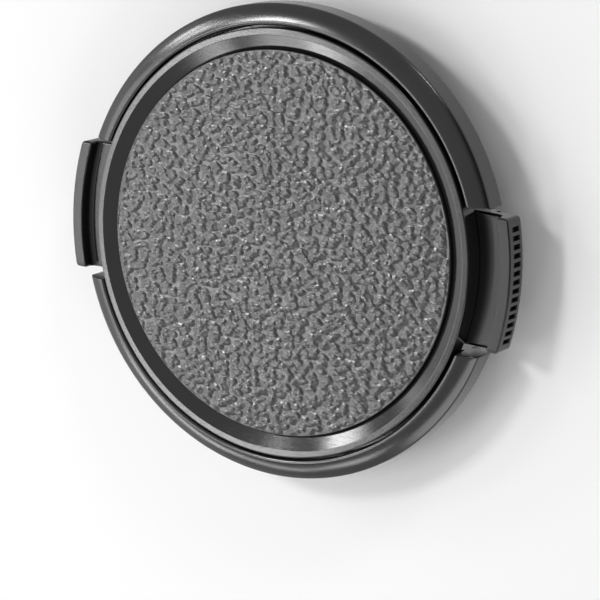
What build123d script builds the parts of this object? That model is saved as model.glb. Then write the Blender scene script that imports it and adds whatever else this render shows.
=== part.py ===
from build123d import *
import math
import os

# Side-pinch cap for a lens's filter thread, in millimetres. It lies on its plug with its face up:
# +Z points out of the face, X runs along the two levers, and the origin is the middle of the plug's rim.

# Filter thread and the plug that enters it
thread_diameter = 58.0
thread_pitch = 0.75
thread_crest_cut = 1.0825  # an inner thread's crest diameter is less than its size by this many pitches
plug_clearance = 0.2
plug_depth = 2.8
plug_wall = 1.9
plug_lead = 0.3

# Flange, the convex ring around the face
flange_overhang = 1.95  # beyond the thread's radius
flange_face_width = 2.75
flange_edge = 3.4  # height of its straight side above the lens seat
flange_crown = 0.25  # how far the front bulges past a straight cone
flange_outer_round = 0.45
flange_inner_round = 0.45
flange_rear_chamfer = 0.25

# Cover: the sunk disc and the dished rim around it
face_height = 4.85  # lens seat to the top of the rim
cover_gap = 0.3  # seam between cover and flange
crown_drop = 0.1  # flange's inner edge below the rim
rim_flat = 0.86
rim_round = 0.18
rim_slope_width = 1.94  # down to the disc's side
disc_sink = 0.42  # disc below the rim
disc_edge_height = 0.61
disc_edge_round = 0.18
cover_thickness = 1.45
skirt_wall = 1.6

# Floor behind the levers
floor_drop = 0.1  # its inner face below the lens seat
floor_thickness = 1.2

# Levers: grip pad with a raised lip, and the neck that runs under the cover
lever_travel = 1.8
lever_width = 17.2
notch_side_gap = 0.75
slide_clearance = 0.12
neck_thickness = 1.75
pad_stand_out = 2.05  # beyond the flange
pad_flatness = 2.5  # its curve is flatter than the cap's by this much radius
pad_thickness = 1.55
pad_rise = 1.68  # lip above the neck
pad_root_round = 0.7
pad_lip_round = 0.2
pad_corner_round = 0.6

# Grip pits in the pads
pit_pitch = 1.11
pit_width = 0.62
pit_depth = 0.5
pit_end_margin = 0.75
pit_front_margin = 0.98
pit_rear_margin = 0.65

# Jaws that hold the filter thread
jaw_inset = 0.4  # each end of the jaw within the lever's width
jaw_wall = 1.7
jaw_overreach = 0.3  # free jaw beyond the thread's full radius
jaw_lift = 0.35  # above the plug's rim
ridge_count = 3
ridge_height = 0.4

# Stop ears and guided tongue inside the body
ear_overlap = 2.85  # behind the ring's wall, each side of the notch
ear_depth = 3.2
stop_clearance = 0.1
tongue_width = 9.0
guide_clearance = 0.15
guide_wall = 1.2
guide_length = 11.0

# Springs and their seats
spring_diameter = 2.5
spring_wire = 0.36
spring_turns = 4
spring_length = 6.0
wire_sides = 5
spigot_clearance = 0.15
spigot_length = 1.4
post_length = 4.4
post_width = 7.0
seat_block = 2.5  # length of the block on each lever's tongue

# Pins that fix the cover to the body
pin_diameter = 2.2
pin_length = 1.9
pin_clearance = 0.05
socket_wall = 1.2
socket_inset = 5.7  # from the ring's inner wall
socket_angle = 55.0  # from the levers' axis

# Radii that follow from them
thread_crest_radius = (thread_diameter - thread_crest_cut * thread_pitch) / 2
plug_radius = thread_crest_radius - plug_clearance
plug_bore = plug_radius - plug_wall
flange_radius = thread_diameter / 2 + flange_overhang
flange_bore = flange_radius - flange_face_width
cover_radius = flange_bore - cover_gap
rim_inner_radius = cover_radius - rim_flat
disc_radius = rim_inner_radius - rim_slope_width
skirt_bore = cover_radius - skirt_wall
jaw_crest_radius = thread_diameter / 2 + jaw_overreach
jaw_root_radius = jaw_crest_radius - ridge_height
jaw_bore = jaw_root_radius - jaw_wall
ear_radius = plug_bore - stop_clearance
ear_bore = ear_radius - ear_depth

# Heights above the plug's rim
seat_z = plug_depth
shoulder_z = seat_z + flange_edge
rim_z = seat_z + face_height
crown_z = rim_z - crown_drop
disc_z = rim_z - disc_sink
groove_z = disc_z - disc_edge_height
cover_under_z = disc_z - cover_thickness
floor_z = seat_z - floor_drop
floor_rear_z = floor_z - floor_thickness
neck_z = floor_z + slide_clearance
neck_top_z = neck_z + neck_thickness
ledge_z = neck_top_z + slide_clearance
pad_top_z = neck_top_z + pad_rise
inner_top_z = cover_under_z - slide_clearance
spring_z = (floor_z + cover_under_z) / 2

# Lengths along the levers and across them
post_face = post_length / 2
spring_seat = post_face + spring_length
pad_reach = flange_radius + pad_stand_out
pad_curve_radius = pad_reach + pad_flatness
lip_inner_reach = pad_reach - pad_thickness
notch_width = lever_width + 2 * notch_side_gap
ear_width = notch_width + 2 * ear_overlap
jaw_width = lever_width - 2 * jaw_inset
window_edge = math.sqrt(jaw_bore**2 - (jaw_width / 2) ** 2) - lever_travel - stop_clearance
guide_half = tongue_width / 2 + guide_clearance
guide_outer_half = guide_half + guide_wall
guide_end = math.sqrt(ear_bore**2 - guide_outer_half**2) - lever_travel - stop_clearance
coil_radius = (spring_diameter - spring_wire) / 2
spigot_radius = coil_radius - spring_wire / 2 - spigot_clearance
pin_radius = pin_diameter / 2
socket_radius = plug_bore - socket_inset
socket_spacing_x = 2 * socket_radius * math.cos(math.radians(socket_angle))
socket_spacing_y = 2 * socket_radius * math.sin(math.radians(socket_angle))

# Boxes stand on their place, in the middle of it or reaching out along +X.
standing = (Align.CENTER, Align.CENTER, Align.MIN)
reaching = (Align.MIN, Align.CENTER, Align.MIN)
half_space = (Align.MIN, Align.CENTER, Align.CENTER)


def at_corner(sketch, x, z):
    """The sketch's vertex nearest to the point (x, z) of its profile."""
    return sketch.vertices().sort_by_distance((x, z))[0]


# Body: one turned section, then the notches, guides, spring post and pin sockets
with BuildPart() as body:
    with BuildSketch(Plane.XZ) as section:
        with BuildLine():
            Polyline(
                (flange_bore, crown_z),
                (flange_bore, ledge_z),
                (plug_bore, ledge_z),
                (plug_bore, floor_z),
                (0, floor_z),
                (0, floor_rear_z),
                (plug_bore, floor_rear_z),
                (plug_bore, 0),
                (plug_radius, 0),
                (plug_radius, seat_z),
                (flange_radius, seat_z),
                (flange_radius, shoulder_z),
            )
            SagittaArc((flange_radius, shoulder_z), (flange_bore, crown_z), -flange_crown)
        make_face()
        fillet(at_corner(section, flange_bore, crown_z), flange_inner_round)
        fillet(at_corner(section, flange_radius, shoulder_z), flange_outer_round)
        chamfer(at_corner(section, flange_radius, seat_z), flange_rear_chamfer)
        chamfer(at_corner(section, plug_radius, 0), plug_lead)
    revolve(axis=Axis.Z)
    # Each lever passes through the ring, and the floor ends where its jaw's travel does.
    with PolarLocations(window_edge, 2):
        Box(flange_radius, notch_width, 2 * rim_z, align=half_space, mode=Mode.SUBTRACT)
    # Guide ribs for the tongues. Their outer ends stop the levers' ears.
    with Locations((0, 0, floor_z)):
        with PolarLocations(guide_end - guide_length, 2):
            with GridLocations(1, guide_half + guide_outer_half, 1, 2):
                Box(guide_length, guide_wall, neck_top_z - floor_z, align=reaching)
    # Post in the middle, with a spigot for each spring
    with Locations((0, 0, floor_z)):
        Box(post_length, post_width, inner_top_z - floor_z, align=standing)
    with Locations((0, 0, spring_z)):
        Cylinder(spigot_radius, post_length + 2 * spigot_length, rotation=(0, 90, 0))
    # Sockets for the cover's pins
    with Locations((0, 0, floor_z)):
        with GridLocations(socket_spacing_x, socket_spacing_y, 2, 2):
            Cylinder(pin_radius + pin_clearance + socket_wall, inner_top_z - floor_z, align=standing)
    with Locations((0, 0, inner_top_z)):
        with GridLocations(socket_spacing_x, socket_spacing_y, 2, 2):
            Hole(pin_radius + pin_clearance, pin_length)
body.part.label = "body"

# Front cover: disc, groove, dished rim and skirt turned as one section, with the pins under it
with BuildPart() as front_cover:
    with BuildSketch(Plane.XZ) as section:
        with BuildLine():
            Polyline(
                (0, cover_under_z),
                (skirt_bore, cover_under_z),
                (skirt_bore, ledge_z),
                (cover_radius, ledge_z),
                (cover_radius, rim_z),
                (rim_inner_radius, rim_z),
                (disc_radius, groove_z),
                (disc_radius, disc_z),
                (0, disc_z),
                close=True,
            )
        make_face()
        fillet(at_corner(section, cover_radius, rim_z), rim_round)
        fillet(at_corner(section, rim_inner_radius, rim_z), rim_round)
        fillet(at_corner(section, disc_radius, disc_z), min(disc_edge_round, 0.9 * disc_edge_height))
    revolve(axis=Axis.Z)
    with Locations((0, 0, cover_under_z)):
        with GridLocations(socket_spacing_x, socket_spacing_y, 2, 2):
            Cylinder(pin_radius, pin_length, align=(Align.CENTER, Align.CENTER, Align.MAX))
front_cover.part.label = "front_cover"

# Jaw: a short arc in line with the plug's wall, with thread ridges turned about the cap's axis
with BuildPart() as jaw:
    with BuildSketch(Plane.XZ):
        with BuildLine():
            ridges = []
            for ridge in range(ridge_count):
                ridge_foot = jaw_lift + ridge * thread_pitch
                ridges.append((jaw_root_radius, ridge_foot))
                ridges.append((jaw_crest_radius, ridge_foot + thread_pitch / 2))
            Polyline(
                (jaw_bore, neck_top_z),
                (jaw_bore, jaw_lift),
                *ridges,
                (jaw_root_radius, jaw_lift + ridge_count * thread_pitch),
                (jaw_root_radius, neck_top_z),
                close=True,
            )
        make_face()
    revolve(axis=Axis.Z)
    Box(flange_radius, jaw_width, 2 * rim_z, align=half_space, mode=Mode.INTERSECT)

# Ears: an arc behind the ring's wall, wider than the notch, that keeps the lever in
with BuildPart() as ears:
    with BuildSketch(Plane.XY.offset(neck_z)):
        Circle(ear_radius)
        Circle(ear_bore, mode=Mode.SUBTRACT)
        Rectangle(flange_radius, ear_width, align=(Align.MIN, Align.CENTER), mode=Mode.INTERSECT)
    extrude(amount=neck_thickness)

# Lever: pad, lip and neck turned about the pad's own axis, then grip pits, jaw, ears and tongue
with BuildPart() as lever_right:
    with BuildSketch(Plane.XZ) as section:
        with BuildLine():
            Polyline(
                (window_edge, neck_z),
                (pad_reach, neck_z),
                (pad_reach, pad_top_z),
                (lip_inner_reach, pad_top_z),
                (lip_inner_reach, neck_top_z),
                (window_edge, neck_top_z),
                close=True,
            )
        make_face()
        root_limit = 0.9 * (pad_rise - pad_lip_round)
        fillet(at_corner(section, lip_inner_reach, neck_top_z), min(pad_root_round, root_limit))
    revolve(axis=Axis((-pad_flatness, 0, 0), (0, 0, 1)))
    Box(2 * pad_reach, lever_width, 2 * rim_z, align=half_space, mode=Mode.INTERSECT)
    fillet(lever_right.edges().filter_by(Axis.Z).group_by(Axis.X)[-1], pad_corner_round)
    fillet(lever_right.faces().sort_by(Axis.Z)[-1].edges(), pad_lip_round)
    pit_height = pad_top_z - neck_z - pit_front_margin - pit_rear_margin
    pit_count = int((lever_width - 2 * pit_end_margin) / pit_pitch)
    pit_span = math.degrees(pit_pitch / pad_curve_radius) * (pit_count - 1)
    with Locations((-pad_flatness, 0, neck_z + pit_rear_margin)):
        with PolarLocations(pad_curve_radius, pit_count, -pit_span / 2, pit_span, endpoint=True):
            Box(2 * pit_depth, pit_width, pit_height, align=standing, mode=Mode.SUBTRACT)
    add(jaw.part)
    add(ears.part)
    with Locations((spring_seat, 0, neck_z)):
        Box(window_edge - spring_seat, tongue_width, neck_thickness, align=reaching)
        Box(seat_block, tongue_width, inner_top_z - neck_z, align=reaching)
    with Locations((spring_seat, 0, spring_z)):
        Cylinder(
            spigot_radius,
            spigot_length,
            rotation=(0, 90, 0),
            align=(Align.CENTER, Align.CENTER, Align.MAX),
        )
lever_right.part.label = "lever_right"

# The other lever is the same moulding, turned round.
with BuildPart() as lever_left:
    add(lever_right.part, rotation=(0, 0, 180))
lever_left.part.label = "lever_left"

# Springs: open coils with their ends ground flat on the seats. A five-sided wire stands for the round one.
with BuildPart() as spring_right:
    with BuildLine() as coil:
        Helix(
            spring_length / spring_turns,
            spring_length,
            coil_radius,
            center=(post_face, 0, spring_z),
            direction=(1, 0, 0),
        )
    with BuildSketch(Plane(coil.line @ 0, z_dir=coil.line % 0)):
        RegularPolygon(spring_wire / 2, wire_sides)
    sweep(is_frenet=True)
    with Locations((post_face, 0, spring_z)):
        Box(spring_length, 2 * spring_diameter, 2 * spring_diameter, align=half_space, mode=Mode.INTERSECT)
spring_right.part.label = "spring_right"

with BuildPart() as spring_left:
    add(spring_right.part, rotation=(0, 0, 180))
spring_left.part.label = "spring_left"

os.makedirs("parts", exist_ok=True)
for piece in (body, front_cover, lever_right, lever_left, spring_right, spring_left):
    export_step(piece.part, f"parts/{piece.part.label}.step")
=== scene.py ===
"""Finish and light of a round lens cap with two sprung side levers.

Each class builds one sub-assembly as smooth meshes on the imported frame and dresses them. Sizes are in
millimetres. A finished mesh is in metres, and its object sits at the origin.
"""

import logging
import math
from collections.abc import Sequence
from dataclasses import dataclass, field
from enum import Enum
from typing import Any

import bmesh
import bpy
from mathutils import Matrix, Vector


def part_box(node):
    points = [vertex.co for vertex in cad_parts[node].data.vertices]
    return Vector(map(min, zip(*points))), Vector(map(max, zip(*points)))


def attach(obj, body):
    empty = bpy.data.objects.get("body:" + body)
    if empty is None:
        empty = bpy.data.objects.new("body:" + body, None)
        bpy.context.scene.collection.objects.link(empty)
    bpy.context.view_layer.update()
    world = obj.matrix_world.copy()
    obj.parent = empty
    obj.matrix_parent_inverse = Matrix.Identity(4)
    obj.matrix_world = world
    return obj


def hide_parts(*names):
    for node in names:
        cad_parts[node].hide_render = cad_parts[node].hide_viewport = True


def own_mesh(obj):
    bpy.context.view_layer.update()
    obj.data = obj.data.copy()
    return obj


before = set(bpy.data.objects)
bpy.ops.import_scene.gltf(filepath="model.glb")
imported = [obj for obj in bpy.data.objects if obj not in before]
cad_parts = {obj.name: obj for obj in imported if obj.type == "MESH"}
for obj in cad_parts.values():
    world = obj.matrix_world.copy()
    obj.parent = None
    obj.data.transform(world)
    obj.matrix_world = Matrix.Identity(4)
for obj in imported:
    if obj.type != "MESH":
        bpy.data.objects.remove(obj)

LOG = logging.getLogger("lens_cap")
MM = 0.001  # a millimetre in metres
WELD = 1e-6  # distance in metres within which vertices are one
STRIP = 0.02  # width in millimetres of the flat strip beside a round
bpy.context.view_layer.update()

Pair = tuple[float, float]
Triple = tuple[float, float, float]
Obj = bpy.types.Object
Node = bpy.types.Node
Socket = bpy.types.NodeSocket


class Slot(Enum):
    """Names of four material slots."""

    BODY = "body_plastic"
    COVER = "cover_plastic"
    LEVER = "lever_plastic"
    SPRING = "spring_steel"


class Side(Enum):
    """The two levers, each by the way that it points along X."""

    RIGHT = 1
    LEFT = -1

    @property
    def lever(self) -> str:
        """Name of the lever's node, which is its body's name too."""
        return f"lever_{self.name.lower()}"

    @property
    def spring(self) -> str:
        """Name of the spring's node."""
        return f"spring_{self.name.lower()}"

    @property
    def joint(self) -> str:
        """Name of the lever's joint."""
        return f"{self.lever}_press"

    @property
    def turn(self) -> Matrix:
        """Half turn about Z for the left side, and none for the right."""
        return Matrix.Rotation(0.0 if self is Side.RIGHT else math.pi, 4, "Z")


class Mating(Enum):
    """Which side of its two flat ends a turned piece lies on."""

    BETWEEN = "between"
    BEYOND = "beyond"


@dataclass(frozen=True)
class Corner:
    """A corner of a section.

    Attributes:
        across: Distance from the section's axis.
        height: Height above the plug's rim.
        radius: Radius of the corner's round, or 0 for none.
    """

    across: float
    height: float
    radius: float = 0.0


def rectangle(low: Sequence[float], high: Sequence[float], edge: float) -> list[Corner]:
    """Corners of a rounded rectangle, from its lowest and its highest corner."""
    places = [(low[0], low[1]), (high[0], low[1]), (high[0], high[1]), (low[0], high[1])]
    return [Corner(across, height, edge) for across, height in places]


def circle(radius: float, height: float, count: int) -> list[Triple]:
    """Points evenly around a level circle."""
    angles = [math.tau * step / count for step in range(count)]
    return [(radius * math.cos(a), radius * math.sin(a), height) for a in angles]


def upright(outline: Sequence[Pair], low: float, high: float) -> list[list[Triple]]:
    """Rows of an upright prism."""
    return [[(x, y, z) for x, y in outline] for z in (low, high)]


def even_stations(count: int) -> list[float]:
    """Shares of a half turn that cut it into equal spaces, without the ends."""
    return [2.0 * step / count - 1.0 for step in range(1, count)]


def arc(centre: Vector, start: Vector, end: Vector, steps: int) -> list[Pair]:
    """Points on the shorter arc between two points.

    Args:
        centre: Centre of the arc.
        start: First point.
        end: Last point.
        steps: Spaces between the points.

    Returns:
        The points, both ends included.
    """
    radius = (start - centre).length
    first = math.atan2(start.y - centre.y, start.x - centre.x)
    last = math.atan2(end.y - centre.y, end.x - centre.x)
    sweep = (last - first + math.pi) % math.tau - math.pi
    angles = [first + sweep * step / steps for step in range(steps + 1)]
    return [(centre.x + radius * math.cos(a), centre.y + radius * math.sin(a)) for a in angles]


def section(corners: Sequence[Corner], inset: float = 0.0, steps: int = 6) -> list[Pair]:
    """A closed section with its corners rounded.

    Args:
        corners: Corners in order, with the material on the left.
        inset: Distance that every side moves into the material.
        steps: Spaces along each round.

    Returns:
        The section's points, whose number doesn't depend on the inset. A narrow strip lies beside each
        round, so that flat sides shade flat.
    """
    least_radius = 0.01
    points = [Vector((c.across, c.height)) for c in corners]
    count = len(points)
    ways = [(points[(i + 1) % count] - points[i]).normalized() for i in range(count)]
    inward = [Vector((-way.y, way.x)) for way in ways]
    moved = []
    for i in range(count):
        before, after = inward[i - 1], inward[i]
        moved.append(points[i] + inset * (before + after) / (1.0 + before.dot(after)))
    loop: list[Pair] = []
    for i, corner in enumerate(corners):
        if corner.radius == 0.0:
            loop.append(tuple(moved[i]))
            continue
        convex = ways[i - 1].cross(ways[i]) > 0.0
        radius = max(corner.radius - inset, least_radius) if convex else corner.radius + inset
        half_turn = (-ways[i - 1]).angle(ways[i]) / 2.0
        reach = radius / math.tan(half_turn)
        bisector = (ways[i] - ways[i - 1]).normalized()
        centre = moved[i] + bisector * (radius / math.sin(half_turn))
        start = moved[i] - ways[i - 1] * reach
        end = moved[i] + ways[i] * reach
        loop.append(tuple(start - ways[i - 1] * STRIP))
        loop += arc(centre, start, end, steps)
        loop.append(tuple(end + ways[i] * STRIP))
    return loop


def stood(name: str, data: bpy.types.ID) -> Obj:
    """Puts an object into the scene.

    Args:
        name: Name of the object.
        data: Its mesh, lamp or camera.

    Returns:
        The object, at the origin.
    """
    obj = bpy.data.objects.new(name, data)
    bpy.context.scene.collection.objects.link(obj)
    return obj


@dataclass
class Draft:
    """Vertices and faces of a piece that is being built, in millimetres."""

    verts: list[Triple] = field(default_factory=list)
    faces: list[tuple[int, ...]] = field(default_factory=list)

    def row(self, points: Sequence[Triple]) -> list[int]:
        """Adds a row of vertices.

        Args:
            points: Places of the vertices.

        Returns:
            Their numbers.
        """
        first = len(self.verts)
        self.verts += points
        return list(range(first, len(self.verts)))

    def bridge(self, one: list[int], other: list[int], skip: int | None = None) -> None:
        """Joins two closed rows of equal length by a band of faces.

        Args:
            one: First row.
            other: Second row.
            skip: Place in the rows where no face goes.
        """
        count = len(one)
        for i in range(count):
            if i != skip:
                after = (i + 1) % count
                self.faces.append((one[i], one[after], other[after], other[i]))

    def tube(self, rows: Sequence[Sequence[Triple]]) -> None:
        """Adds a closed shell from closed rows, with a flat face over the first and the last.

        Args:
            rows: Rows of equal length, in order.
        """
        numbers = [self.row(points) for points in rows]
        for one, other in zip(numbers, numbers[1:]):
            self.bridge(one, other)
        self.faces += [tuple(numbers[0]), tuple(numbers[-1])]

    def piece(self, name: str) -> Obj:
        """Makes the mesh in metres, with its faces outwards.

        Args:
            name: Name of the piece.

        Returns:
            The piece, at the origin.
        """
        mesh = bpy.data.meshes.new(name)
        mesh.from_pydata([tuple(MM * x for x in v) for v in self.verts], [], self.faces)
        obj = stood(name, mesh)
        close_up(obj)
        return obj

    @classmethod
    def shell(cls, name: str, *tubes: Sequence[Sequence[Triple]]) -> Obj:
        """Makes a piece of closed shells.

        Args:
            name: Name of the piece.
            *tubes: Rows of each shell.

        Returns:
            The piece, at the origin.
        """
        draft = cls()
        for rows in tubes:
            draft.tube(rows)
        return draft.piece(name)


@dataclass(frozen=True)
class Turned:
    """A section turned about an upright axis, between two flat ends that lie along X.

    Attributes:
        corners: The section.
        cut: Distance of the flat ends from the middle line.
        mating: Which side of the ends the piece lies on.
        stations: Places of the rows, as shares of the half turn, without the ends.
        axis_x: Place of the axis on X.
        end_round: Radius of the ends' edges.
        end_steps: Spaces along that round.
        face_inset: Inset of the last row on an end's flat face, as a share of that radius.
    """

    corners: Sequence[Corner]
    cut: float
    mating: Mating
    stations: Sequence[float]
    axis_x: float = 0.0
    end_round: float = 0.1
    end_steps: int = 4
    face_inset: float = 1.1

    def half_turn(self, radius: float, cut: float) -> float:
        """Angle at a radius from the middle of the piece to an end at the given cut."""
        return math.asin(cut / radius) if self.mating is Mating.BETWEEN else math.acos(cut / radius)

    def placed(self, loop: Sequence[Pair], share: float, cut: float) -> list[Triple]:
        """A section's points at one station.

        Args:
            loop: The section.
            share: Share of the half turn, from -1 to 1.
            cut: Distance of the ends from the middle line.

        Returns:
            The points in space.
        """
        middle = 0.0 if self.mating is Mating.BETWEEN else math.pi / 2.0
        points = []
        for radius, height in loop:
            angle = middle + share * self.half_turn(radius, cut)
            points.append((self.axis_x + radius * math.cos(angle), radius * math.sin(angle), height))
        return points

    def end(self, share: float) -> list[list[Triple]]:
        """Rows over the rounded edge of one end, from the full section to the flat face.

        Args:
            share: -1 or 1, the end's own share of the half turn.

        Returns:
            The rows.
        """
        rows = []
        outwards = -1.0 if self.mating is Mating.BETWEEN else 1.0
        for step in range(self.end_steps + 1):
            angle = math.pi / 2.0 * step / self.end_steps
            loop = section(self.corners, inset=self.end_round * (1.0 - math.cos(angle)))
            cut = self.cut + outwards * self.end_round * (1.0 - math.sin(angle))
            rows.append(self.placed(loop, share, cut))
        face = section(self.corners, inset=self.face_inset * self.end_round)
        rows.append(self.placed(face, share, self.cut))
        return rows

    @property
    def full_cut(self) -> float:
        """Distance from the middle line where the section is whole."""
        return self.cut + (-self.end_round if self.mating is Mating.BETWEEN else self.end_round)

    def rows(self) -> list[list[Triple]]:
        """Puts the piece's rows together.

        Returns:
            All rows, from one flat end to the other.
        """
        loop = section(self.corners)
        between = [self.placed(loop, share, self.full_cut) for share in self.stations]
        return self.end(-1.0)[::-1] + between + self.end(1.0)


def close_up(obj: Obj) -> None:
    """Merges doubled vertices and turns the faces outwards.

    Args:
        obj: A piece whose mesh becomes closed by this.
    """
    net = bmesh.new()
    net.from_mesh(obj.data)
    bmesh.ops.remove_doubles(net, verts=net.verts, dist=WELD)
    bmesh.ops.recalc_face_normals(net, faces=net.faces)
    net.to_mesh(obj.data)
    net.free()
    obj.data.update()


def settle(obj: Obj) -> None:
    """Turns what the piece's modifiers make into its plain mesh.

    Args:
        obj: The piece.
    """
    depsgraph = bpy.context.evaluated_depsgraph_get()
    mesh = bpy.data.meshes.new_from_object(obj.evaluated_get(depsgraph), depsgraph=depsgraph)
    obj.modifiers.clear()
    mesh.name = obj.name
    obj.data = mesh


def fuse(base: Obj, others: Sequence[Obj]) -> None:
    """Unites pieces of one moulding into a single shell.

    Args:
        base: The piece that takes in the others.
        others: Pieces that go into it and are then deleted.
    """
    group = bpy.data.collections.new(f"{base.name}_parts")
    for other in others:
        group.objects.link(other)
    union = base.modifiers.new("union", "BOOLEAN")
    union.operation = "UNION"
    union.solver = "EXACT"
    union.operand_type = "COLLECTION"
    union.collection = group
    settle(base)
    for other in others:
        bpy.data.objects.remove(other)
    bpy.data.collections.remove(group)


def block(low: Triple, high: Triple, edge: float = 0.08) -> Obj:
    """A box with rounded upright edges and plain ends, from its lowest and its highest corner."""
    return Draft.shell("block", upright(section(rectangle(low, high, edge)), low[2], high[2]))


def rod(start: Vector, end: Vector, radius: float, edge: float = 0.12, count: int = 48) -> Obj:
    """A round rod with softened ends.

    Args:
        start: Middle of one end.
        end: Middle of the other end.
        radius: Radius of the rod.
        edge: Width of the ends' chamfers.
        count: Faces around it.

    Returns:
        The rod.
    """
    along = (end - start).normalized()
    side = along.orthogonal().normalized()
    rise = along.cross(side)
    length = (end - start).length
    profile = [(radius - edge, 0.0), (radius, edge), (radius, length - edge), (radius - edge, length)]
    angles = [math.tau * step / count for step in range(count)]
    rows = []
    for reach, distance in profile:
        middle = start + along * distance
        rows.append([tuple(middle + reach * (side * math.cos(a) + rise * math.sin(a))) for a in angles])
    return Draft.shell("rod", rows)


def smooth(obj: Obj, sharp_above: float | None = 40.0) -> None:
    """Shades a piece smooth, with edges where its faces turn sharply.

    Args:
        obj: The piece.
        sharp_above: Turn in degrees above which an edge is sharp, or None where none is.
    """
    obj.data.shade_smooth()
    if sharp_above is not None:
        obj.data.set_sharp_from_angle(angle=math.radians(sharp_above))


def paint(obj: Obj, material: bpy.types.Material) -> None:
    """Gives a piece its only material."""
    obj.data.materials.clear()
    obj.data.materials.append(material)


def dress(obj: Obj, body: str, nodes: Sequence[str]) -> Obj:
    """Puts a finished piece on its body.

    Args:
        obj: The piece.
        body: The body that it rides on.
        nodes: The solids that it stands for.

    Returns:
        The piece.
    """
    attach(obj, body)
    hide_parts(*nodes)
    return obj


@dataclass
class Graph:
    """A node tree with short calls for its nodes, links and named sockets."""

    tree: bpy.types.NodeTree

    def node(self, kind: str, settings: dict[str, Any] | None = None, **inputs: Any) -> Node:
        """Adds a node.

        Args:
            kind: Type of the node.
            settings: The node's own properties.
            **inputs: Values or sockets for its inputs, by name, with _ for a space.

        Returns:
            The node.
        """
        made = self.tree.nodes.new(kind)
        for name, value in (settings or {}).items():
            setattr(made, name, value)
        for name, value in inputs.items():
            self.feed(made.inputs[name.replace("_", " ")], value)
        return made

    def feed(self, socket: Socket, value: Any) -> None:
        """Sets an input, or links a socket to it.

        Args:
            socket: The input.
            value: A value or another node's output.
        """
        if isinstance(value, Socket):
            self.tree.links.new(value, socket)
        else:
            socket.default_value = value

    def math(self, operation: str, one: Any, other: Any = 0.0, clamp: bool = False) -> Socket:
        """Adds a sum on two values.

        Args:
            operation: Name of the sum.
            one: First value or socket.
            other: Second value or socket.
            clamp: Whether the result stays between 0 and 1.

        Returns:
            The result.
        """
        made = self.node("ShaderNodeMath", {"operation": operation, "use_clamp": clamp})
        self.feed(made.inputs[0], one)
        self.feed(made.inputs[1], other)
        return made.outputs[0]

    def vector(self, operation: str, one: Any, other: Any = None, scale: Any = None) -> Node:
        """Adds a sum on vectors.

        Args:
            operation: Name of the sum.
            one: First vector or socket.
            other: Second vector or socket.
            scale: Factor for a scaling.

        Returns:
            The node.
        """
        made = self.node("ShaderNodeVectorMath", {"operation": operation})
        self.feed(made.inputs[0], one)
        if other is not None:
            self.feed(made.inputs[1], other)
        if scale is not None:
            self.feed(made.inputs["Scale"], scale)
        return made

    def ramp(self, value: Any, low: Any, high: Any, to_low: Any = 0.0, to_high: Any = 1.0) -> Socket:
        """Maps a range softly onto another.

        Args:
            value: The value or socket.
            low: Where the ramp starts.
            high: Where it ends.
            to_low: Result at its start.
            to_high: Result at its end.

        Returns:
            The result.
        """
        ends = {"From_Min": low, "From_Max": high, "To_Min": to_low, "To_Max": to_high}
        soft = {"interpolation_type": "SMOOTHSTEP"}
        return self.node("ShaderNodeMapRange", soft, Value=value, **ends).outputs["Result"]

    def mix(self, factor: Any, one: Any, other: Any, blend: str = "MIX") -> Socket:
        """Mixes two colours.

        Args:
            factor: Share of the second colour.
            one: First colour or socket.
            other: Second colour or socket.
            blend: How the second goes over the first.

        Returns:
            The colour.
        """
        made = self.node("ShaderNodeMix", {"data_type": "RGBA", "blend_type": blend})
        colour_inputs = (made.inputs[0], made.inputs[6], made.inputs[7])
        for socket, value in zip(colour_inputs, (factor, one, other)):
            self.feed(socket, value)
        return made.outputs[2]

    def noise(self, place: Any, scale: Any, detail: float, flat: bool = False) -> Any:
        """Adds noise.

        Args:
            place: Places on the piece.
            scale: Its fineness.
            detail: Number of its finer layers.
            flat: Whether it depends on X and Y only.

        Returns:
            The node's outputs.
        """
        settings = {"noise_dimensions": "2D" if flat else "3D"}
        return self.node("ShaderNodeTexNoise", settings, Vector=place, Scale=scale, Detail=detail).outputs

    def within(self, place: Any, inner: Any, outer: Any) -> Socket:
        """1 at places up to an inner distance from Z, falling to 0 at an outer one."""
        flat = self.vector("MULTIPLY", place, (1.0, 1.0, 0.0)).outputs[0]
        return self.ramp(self.vector("LENGTH", flat).outputs["Value"], inner, outer, 1.0, 0.0)

    def socket(self, name: str, kind: str, value: Any = None, output: bool = False) -> None:
        """Adds a named socket to the tree's own interface.

        Args:
            name: Name of the socket.
            kind: Type of the socket.
            value: Default of an input.
            output: Whether it is an output.
        """
        way = "OUTPUT" if output else "INPUT"
        made = self.tree.interface.new_socket(name, in_out=way, socket_type=kind)
        if value is not None:
            made.default_value = value


def blank(owner: bpy.types.Material | bpy.types.World) -> Graph:
    """Clears the nodes of a new material or world.

    Args:
        owner: The material or world.

    Returns:
        The graph of its empty tree.
    """
    owner.use_nodes = True
    owner.node_tree.nodes.clear()
    return Graph(owner.node_tree)


def geometry_graph(name: str, sizes: dict[str, float | int]) -> tuple[Graph, Node]:
    """Starts a Geometry Nodes tree.

    Args:
        name: Name of the tree.
        sizes: Its named inputs, with their defaults.

    Returns:
        The graph, and its input node.
    """
    graph = Graph(bpy.data.node_groups.new(name, "GeometryNodeTree"))
    graph.socket("Geometry", "NodeSocketGeometry")
    for label, value in sizes.items():
        graph.socket(label, "NodeSocketInt" if isinstance(value, int) else "NodeSocketFloat", value)
    graph.socket("Material", "NodeSocketMaterial")
    graph.socket("Geometry", "NodeSocketGeometry", output=True)
    return graph, graph.node("NodeGroupInput")


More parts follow.
